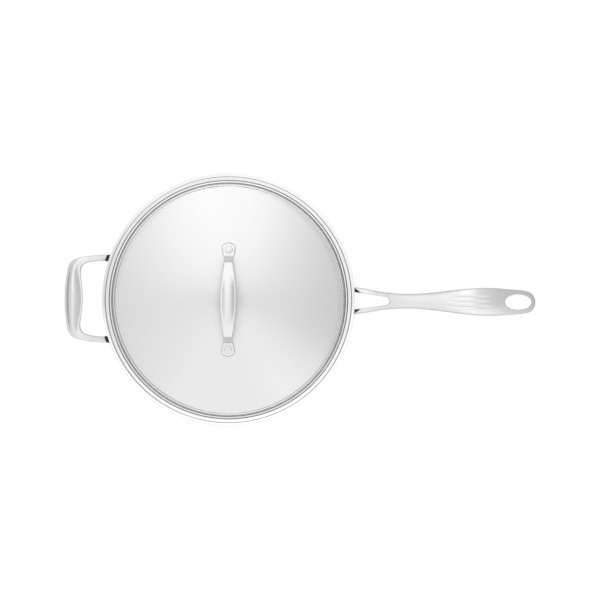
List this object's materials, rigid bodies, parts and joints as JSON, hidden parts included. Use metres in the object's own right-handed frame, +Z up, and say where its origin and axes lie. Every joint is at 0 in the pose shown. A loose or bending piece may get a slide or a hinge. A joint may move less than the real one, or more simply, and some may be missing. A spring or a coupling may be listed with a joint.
{
  "type": "saute pan with lid",
  "caption": "Straight-sided steel saute pan with a flared lip, stepped lid under an arched strap handle, forked long handle and looped helper handle.",
  "frame": {"origin": "on the bowl's axis, on the level plane that the pan stands on", "axes": "+Z up along the bowl's axis, +X from that axis along the long handle, +Y to the left of someone who looks along +X"},
  "size_m": [0.5397, 0.29, 0.1153],
  "materials": {
    "polished_steel": "polished stainless steel sheet",
    "satin_steel": "stainless steel sheet, brushed in circles on the dome and polished at the edge",
    "cast_steel": "cast stainless steel, fine satin",
    "bracket_steel": "stainless steel plate, satin",
    "rivet_steel": "smooth stainless steel",
    "aluminium": "bare aluminium, matt",
    "black_plastic": "heat resistant plastic, matt black"
  },
  "bodies": {
    "pan": {"pan_body": "polished_steel", "base_core": "aluminium", "base_cap": "polished_steel", "long_handle_bracket": "bracket_steel", "helper_bracket_left": "bracket_steel", "helper_bracket_right": "bracket_steel", "long_handle_rivets": "rivet_steel", "helper_rivets": "rivet_steel", "long_handle": "cast_steel", "long_handle_spacer_left": "black_plastic", "long_handle_spacer_right": "black_plastic", "helper_handle": "cast_steel", "helper_spacer_left": "black_plastic", "helper_spacer_right": "black_plastic"},
    "lid": {"lid_body": "satin_steel", "lid_handle": "cast_steel", "lid_rivets": "rivet_steel", "lid_rivet_washers": "rivet_steel"}
  },
  "joints": [
    {"name": "lid_lift", "type": "slide", "parent": "pan", "child": "lid", "axis": [0, 0, 1], "range_m": [0, 0.15]}
  ]
}
